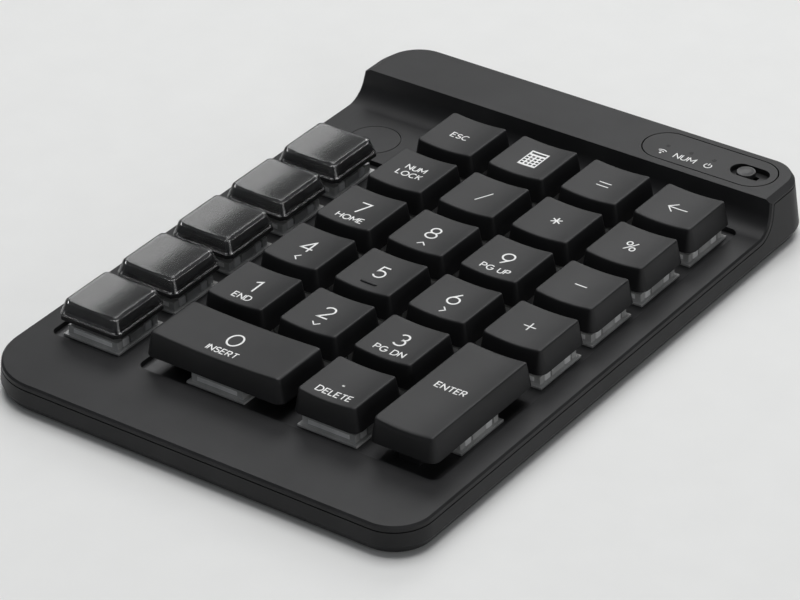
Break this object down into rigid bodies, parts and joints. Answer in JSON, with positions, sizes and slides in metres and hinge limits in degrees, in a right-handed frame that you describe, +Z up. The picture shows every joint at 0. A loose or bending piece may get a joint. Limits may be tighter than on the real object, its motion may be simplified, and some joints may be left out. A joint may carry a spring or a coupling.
{
  "type": "programmable keypad",
  "caption": "Desk number pad with dished keys, a column of clear label keys, a raised rear bar with a status window and a power slider, and a battery door underneath.",
  "frame": {"origin": "on the desk, under the middle of the case", "axes": "+X to the right along the key rows, +Y to the rear bar, +Z up"},
  "size_m": [0.1116, 0.155, 0.0154],
  "materials": {
    "case_plastic": "fine matte",
    "key_plastic": "satin",
    "clear_plastic": "clear",
    "label_card": "plain",
    "dark_plastic": "plain",
    "badge_plastic": "plain",
    "window_plastic": "satin",
    "slider_plastic": "satin",
    "lamp_plastic": "plain",
    "plate_metal": "matte",
    "board_laminate": "satin",
    "cell_jacket": "gloss",
    "bright_steel": "bright",
    "foot_rubber": "matte"
  },
  "bodies": {
    "case": {"top_cover": "case_plastic", "bottom_case": "case_plastic", "badge_disc": "badge_plastic", "battery_cell": "cell_jacket", "battery_contacts": "bright_steel", "rubber_feet": "foot_rubber", "case_screws": "bright_steel", "switch_plate": "plate_metal", "circuit_board": "board_laminate", "controller_chip": "dark_plastic", "radio_shield": "bright_steel", "status_window": "window_plastic", "power_switch_body": "dark_plastic", "status_board": "board_laminate", "status_lamps": "lamp_plastic", "light_pipes": "clear_plastic", "switch_top_housings": "clear_plastic", "switch_bases": "dark_plastic", "return_springs": "bright_steel", "stabilizer_guides": "dark_plastic"},
    "key_escape_body": {"key_escape": "key_plastic"},
    "key_calculator_body": {"key_calculator": "key_plastic"},
    "key_equals_body": {"key_equals": "key_plastic"},
    "key_backspace_body": {"key_backspace": "key_plastic"},
    "key_num_lock_body": {"key_num_lock": "key_plastic"},
    "key_divide_body": {"key_divide": "key_plastic"},
    "key_multiply_body": {"key_multiply": "key_plastic"},
    "key_percent_body": {"key_percent": "key_plastic"},
    "key_7_body": {"key_7": "key_plastic"},
    "key_8_body": {"key_8": "key_plastic"},
    "key_9_body": {"key_9": "key_plastic"},
    "key_minus_body": {"key_minus": "key_plastic"},
    "key_4_body": {"key_4": "key_plastic"},
    "key_5_body": {"key_5": "key_plastic"},
    "key_6_body": {"key_6": "key_plastic"},
    "key_plus_body": {"key_plus": "key_plastic"},
    "key_1_body": {"key_1": "key_plastic"},
    "key_2_body": {"key_2": "key_plastic"},
    "key_3_body": {"key_3": "key_plastic"},
    "key_enter_body": {"key_enter": "key_plastic"},
    "key_0_body": {"key_0": "key_plastic"},
    "key_decimal_body": {"key_decimal": "key_plastic"},
    "macro_key_1_body": {"macro_cover_1": "clear_plastic", "macro_label_1": "label_card", "macro_base_1": "dark_plastic"},
    "macro_key_2_body": {"macro_cover_2": "clear_plastic", "macro_label_2": "label_card", "macro_base_2": "dark_plastic"},
    "macro_key_3_body": {"macro_cover_3": "clear_plastic", "macro_label_3": "label_card", "macro_base_3": "dark_plastic"},
    "macro_key_4_body": {"macro_cover_4": "clear_plastic", "macro_label_4": "label_card", "macro_base_4": "dark_plastic"},
    "macro_key_5_body": {"macro_cover_5": "clear_plastic", "macro_label_5": "label_card", "macro_base_5": "dark_plastic"},
    "power_slider_body": {"power_slider": "slider_plastic"},
    "battery_door_body": {"battery_door": "case_plastic"}
  },
  "joints": [
    {"name": "key_escape_press", "type": "slide", "parent": "case", "child": "key_escape_body", "axis": [0, 0, -1], "range_m": [0, 0.0026], "stiffness_N_per_m": 150, "springref_m": -0.002, "deforming": ["return_springs"]},
    {"name": "key_calculator_press", "type": "slide", "parent": "case", "child": "key_calculator_body", "axis": [0, 0, -1], "range_m": [0, 0.0026], "stiffness_N_per_m": 150, "springref_m": -0.002, "deforming": ["return_springs"]},
    {"name": "key_equals_press", "type": "slide", "parent": "case", "child": "key_equals_body", "axis": [0, 0, -1], "range_m": [0, 0.0026], "stiffness_N_per_m": 150, "springref_m": -0.002, "deforming": ["return_springs"]},
    {"name": "key_backspace_press", "type": "slide", "parent": "case", "child": "key_backspace_body", "axis": [0, 0, -1], "range_m": [0, 0.0026], "stiffness_N_per_m": 150, "springref_m": -0.002, "deforming": ["return_springs"]},
    {"name": "key_num_lock_press", "type": "slide", "parent": "case", "child": "key_num_lock_body", "axis": [0, 0, -1], "range_m": [0, 0.0026], "stiffness_N_per_m": 150, "springref_m": -0.002, "deforming": ["return_springs"]},
    {"name": "key_divide_press", "type": "slide", "parent": "case", "child": "key_divide_body", "axis": [0, 0, -1], "range_m": [0, 0.0026], "stiffness_N_per_m": 150, "springref_m": -0.002, "deforming": ["return_springs"]},
    {"name": "key_multiply_press", "type": "slide", "parent": "case", "child": "key_multiply_body", "axis": [0, 0, -1], "range_m": [0, 0.0026], "stiffness_N_per_m": 150, "springref_m": -0.002, "deforming": ["return_springs"]},
    {"name": "key_percent_press", "type": "slide", "parent": "case", "child": "key_percent_body", "axis": [0, 0, -1], "range_m": [0, 0.0026], "stiffness_N_per_m": 150, "springref_m": -0.002, "deforming": ["return_springs"]},
    {"name": "key_7_press", "type": "slide", "parent": "case", "child": "key_7_body", "axis": [0, 0, -1], "range_m": [0, 0.0026], "stiffness_N_per_m": 150, "springref_m": -0.002, "deforming": ["return_springs"]},
    {"name": "key_8_press", "type": "slide", "parent": "case", "child": "key_8_body", "axis": [0, 0, -1], "range_m": [0, 0.0026], "stiffness_N_per_m": 150, "springref_m": -0.002, "deforming": ["return_springs"]},
    {"name": "key_9_press", "type": "slide", "parent": "case", "child": "key_9_body", "axis": [0, 0, -1], "range_m": [0, 0.0026], "stiffness_N_per_m": 150, "springref_m": -0.002, "deforming": ["return_springs"]},
    {"name": "key_minus_press", "type": "slide", "parent": "case", "child": "key_minus_body", "axis": [0, 0, -1], "range_m": [0, 0.0026], "stiffness_N_per_m": 150, "springref_m": -0.002, "deforming": ["return_springs"]},
    {"name": "key_4_press", "type": "slide", "parent": "case", "child": "key_4_body", "axis": [0, 0, -1], "range_m": [0, 0.0026], "stiffness_N_per_m": 150, "springref_m": -0.002, "deforming": ["return_springs"]},
    {"name": "key_5_press", "type": "slide", "parent": "case", "child": "key_5_body", "axis": [0, 0, -1], "range_m": [0, 0.0026], "stiffness_N_per_m": 150, "springref_m": -0.002, "deforming": ["return_springs"]},
    {"name": "key_6_press", "type": "slide", "parent": "case", "child": "key_6_body", "axis": [0, 0, -1], "range_m": [0, 0.0026], "stiffness_N_per_m": 150, "springref_m": -0.002, "deforming": ["return_springs"]},
    {"name": "key_plus_press", "type": "slide", "parent": "case", "child": "key_plus_body", "axis": [0, 0, -1], "range_m": [0, 0.0026], "stiffness_N_per_m": 150, "springref_m": -0.002, "deforming": ["return_springs"]},
    {"name": "key_1_press", "type": "slide", "parent": "case", "child": "key_1_body", "axis": [0, 0, -1], "range_m": [0, 0.0026], "stiffness_N_per_m": 150, "springref_m": -0.002, "deforming": ["return_springs"]},
    {"name": "key_2_press", "type": "slide", "parent": "case", "child": "key_2_body", "axis": [0, 0, -1], "range_m": [0, 0.0026], "stiffness_N_per_m": 150, "springref_m": -0.002, "deforming": ["return_springs"]},
    {"name": "key_3_press", "type": "slide", "parent": "case", "child": "key_3_body", "axis": [0, 0, -1], "range_m": [0, 0.0026], "stiffness_N_per_m": 150, "springref_m": -0.002, "deforming": ["return_springs"]},
    {"name": "key_enter_press", "type": "slide", "parent": "case", "child": "key_enter_body", "axis": [0, 0, -1], "range_m": [0, 0.0026], "stiffness_N_per_m": 150, "springref_m": -0.002, "deforming": ["return_springs"]},
    {"name": "key_0_press", "type": "slide", "parent": "case", "child": "key_0_body", "axis": [0, 0, -1], "range_m": [0, 0.0026], "stiffness_N_per_m": 150, "springref_m": -0.002, "deforming": ["return_springs"]},
    {"name": "key_decimal_press", "type": "slide", "parent": "case", "child": "key_decimal_body", "axis": [0, 0, -1], "range_m": [0, 0.0026], "stiffness_N_per_m": 150, "springref_m": -0.002, "deforming": ["return_springs"]},
    {"name": "macro_key_1_press", "type": "slide", "parent": "case", "child": "macro_key_1_body", "axis": [0, 0, -1], "range_m": [0, 0.0026], "stiffness_N_per_m": 150, "springref_m": -0.002, "deforming": ["return_springs"]},
    {"name": "macro_key_2_press", "type": "slide", "parent": "case", "child": "macro_key_2_body", "axis": [0, 0, -1], "range_m": [0, 0.0026], "stiffness_N_per_m": 150, "springref_m": -0.002, "deforming": ["return_springs"]},
    {"name": "macro_key_3_press", "type": "slide", "parent": "case", "child": "macro_key_3_body", "axis": [0, 0, -1], "range_m": [0, 0.0026], "stiffness_N_per_m": 150, "springref_m": -0.002, "deforming": ["return_springs"]},
    {"name": "macro_key_4_press", "type": "slide", "parent": "case", "child": "macro_key_4_body", "axis": [0, 0, -1], "range_m": [0, 0.0026], "stiffness_N_per_m": 150, "springref_m": -0.002, "deforming": ["return_springs"]},
    {"name": "macro_key_5_press", "type": "slide", "parent": "case", "child": "macro_key_5_body", "axis": [0, 0, -1], "range_m": [0, 0.0026], "stiffness_N_per_m": 150, "springref_m": -0.002, "deforming": ["return_springs"]},
    {"name": "power_slide", "type": "slide", "parent": "case", "child": "power_slider_body", "axis": [1, 0, 0], "range_m": [0, 0.002]},
    {"name": "battery_door_slide", "type": "slide", "parent": "case", "child": "battery_door_body", "axis": [-1, 0, 0], "range_m": [0, 0.005]}
  ]
}
